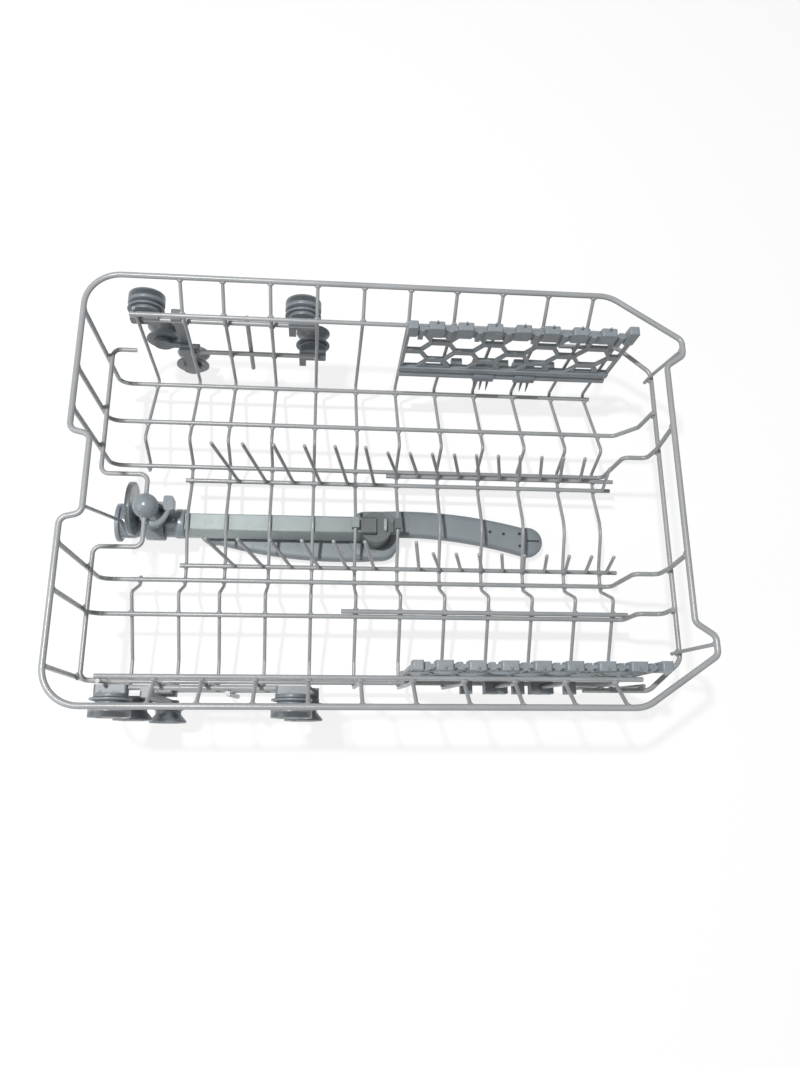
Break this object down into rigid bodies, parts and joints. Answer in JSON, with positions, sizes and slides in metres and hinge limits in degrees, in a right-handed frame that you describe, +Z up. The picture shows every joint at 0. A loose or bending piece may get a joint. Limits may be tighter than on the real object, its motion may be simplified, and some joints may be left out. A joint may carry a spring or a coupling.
{
  "type": "dishwasher upper basket",
  "caption": "Coated wire upper dishwasher basket with side rollers, folding cup shelves and a slung feed pipe with spray arm.",
  "frame": {"origin": "under the middle of the basket, level with the underside of the nut below the spray arm", "axes": "+X towards the door, +Y across to the far wall, +Z up"},
  "size_m": [0.525, 0.373, 0.1962],
  "materials": {
    "coated_wire": "satin nylon coat",
    "shelf_plastic": "moulded satin",
    "clip_plastic": "moulded satin",
    "pipe_plastic": "moulded gloss",
    "duct_plastic": "moulded satin",
    "roller_plastic": "moulded satin"
  },
  "bodies": {
    "basket": {"corner_struts": "coated_wire", "cross_wire_01": "coated_wire", "cross_wire_02": "coated_wire", "cross_wire_03": "coated_wire", "cross_wire_04": "coated_wire", "cross_wire_05": "coated_wire", "cross_wire_06": "coated_wire", "cross_wire_07": "coated_wire", "cross_wire_08": "coated_wire", "cross_wire_09": "coated_wire", "cross_wire_10": "coated_wire", "cross_wire_11": "coated_wire", "doubling_wire": "coated_wire", "floor_wire_1": "coated_wire", "floor_wire_2": "coated_wire", "floor_wire_3": "coated_wire", "floor_wire_4": "coated_wire", "floor_wire_5": "coated_wire", "floor_wire_6": "coated_wire", "front_ring_wire": "coated_wire", "hub_nut": "clip_plastic", "inlet_pipe": "pipe_plastic", "inlet_strut": "coated_wire", "pipe_clamp": "pipe_plastic", "rail_ties": "coated_wire", "rear_half_wires": "coated_wire", "rear_mid_wire": "coated_wire", "rim_wire": "coated_wire", "roller_carrier_far": "clip_plastic", "roller_carrier_near": "clip_plastic", "roller_holders_far": "clip_plastic", "roller_holders_near": "clip_plastic", "roller_rails_lower": "coated_wire", "roller_rails_upper": "coated_wire", "shelf_clips_far": "clip_plastic", "shelf_clips_near": "clip_plastic", "short_tines_far": "coated_wire", "short_tines_near": "coated_wire", "side_wires": "coated_wire", "spray_duct": "duct_plastic", "tall_tines_far": "coated_wire", "tall_tines_near": "coated_wire", "tine_bar": "coated_wire", "tine_rail_far": "coated_wire", "tine_rail_near": "coated_wire"},
    "cup_shelf_far": {"cup_shelf_far": "shelf_plastic"},
    "cup_shelf_near": {"cup_shelf_near": "shelf_plastic"},
    "roller_bottom_rear_far": {"roller_bottom_rear_far": "roller_plastic"},
    "roller_bottom_rear_near": {"roller_bottom_rear_near": "roller_plastic"},
    "roller_lower_front_far": {"roller_lower_front_far": "roller_plastic"},
    "roller_lower_front_near": {"roller_lower_front_near": "roller_plastic"},
    "roller_lower_rear_far": {"roller_lower_rear_far": "roller_plastic"},
    "roller_lower_rear_near": {"roller_lower_rear_near": "roller_plastic"},
    "roller_upper_front_far": {"roller_upper_front_far": "roller_plastic"},
    "roller_upper_front_near": {"roller_upper_front_near": "roller_plastic"},
    "roller_upper_rear_far": {"roller_upper_rear_far": "roller_plastic"},
    "roller_upper_rear_near": {"roller_upper_rear_near": "roller_plastic"},
    "spray_arm": {"spray_arm": "duct_plastic"}
  },
  "joints": [
    {"name": "roller_bottom_rear_far_spin", "type": "hinge", "parent": "basket", "child": "roller_bottom_rear_far", "pos_m": [-0.191, 0.179, 0.0417], "axis": [0, 1, 0], "continuous": true},
    {"name": "roller_bottom_rear_near_spin", "type": "hinge", "parent": "basket", "child": "roller_bottom_rear_near", "pos_m": [-0.191, -0.179, 0.0417], "axis": [0, 1, 0], "continuous": true},
    {"name": "roller_lower_front_far_spin", "type": "hinge", "parent": "basket", "child": "roller_lower_front_far", "pos_m": [-0.06775, 0.179, 0.0937], "axis": [0, 1, 0], "continuous": true},
    {"name": "roller_lower_front_near_spin", "type": "hinge", "parent": "basket", "child": "roller_lower_front_near", "pos_m": [-0.06775, -0.179, 0.0937], "axis": [0, 1, 0], "continuous": true},
    {"name": "roller_lower_rear_far_spin", "type": "hinge", "parent": "basket", "child": "roller_lower_rear_far", "pos_m": [-0.21175, 0.179, 0.0937], "axis": [0, 1, 0], "continuous": true},
    {"name": "roller_lower_rear_near_spin", "type": "hinge", "parent": "basket", "child": "roller_lower_rear_near", "pos_m": [-0.21175, -0.179, 0.0937], "axis": [0, 1, 0], "continuous": true},
    {"name": "roller_upper_front_far_spin", "type": "hinge", "parent": "basket", "child": "roller_upper_front_far", "pos_m": [-0.07675, 0.179, 0.1487], "axis": [0, 1, 0], "continuous": true},
    {"name": "roller_upper_front_near_spin", "type": "hinge", "parent": "basket", "child": "roller_upper_front_near", "pos_m": [-0.07675, -0.179, 0.1487], "axis": [0, 1, 0], "continuous": true},
    {"name": "roller_upper_rear_far_spin", "type": "hinge", "parent": "basket", "child": "roller_upper_rear_far", "pos_m": [-0.21875, 0.179, 0.1487], "axis": [0, 1, 0], "continuous": true},
    {"name": "roller_upper_rear_near_spin", "type": "hinge", "parent": "basket", "child": "roller_upper_rear_near", "pos_m": [-0.21875, -0.179, 0.1487], "axis": [0, 1, 0], "continuous": true},
    {"name": "cup_shelf_far_fold", "type": "hinge", "parent": "basket", "child": "cup_shelf_far", "pos_m": [0.12, 0.1475, 0.0937], "axis": [1, 0, 0], "range_deg": [0, 65]},
    {"name": "cup_shelf_near_fold", "type": "hinge", "parent": "basket", "child": "cup_shelf_near", "pos_m": [0.12, -0.1475, 0.0937], "axis": [-1, 0, 0], "range_deg": [0, 65]},
    {"name": "spray_arm_spin", "type": "hinge", "parent": "basket", "child": "spray_arm", "pos_m": [-0.002, 0, 0.015], "axis": [0, 0, 1], "continuous": true}
  ]
}
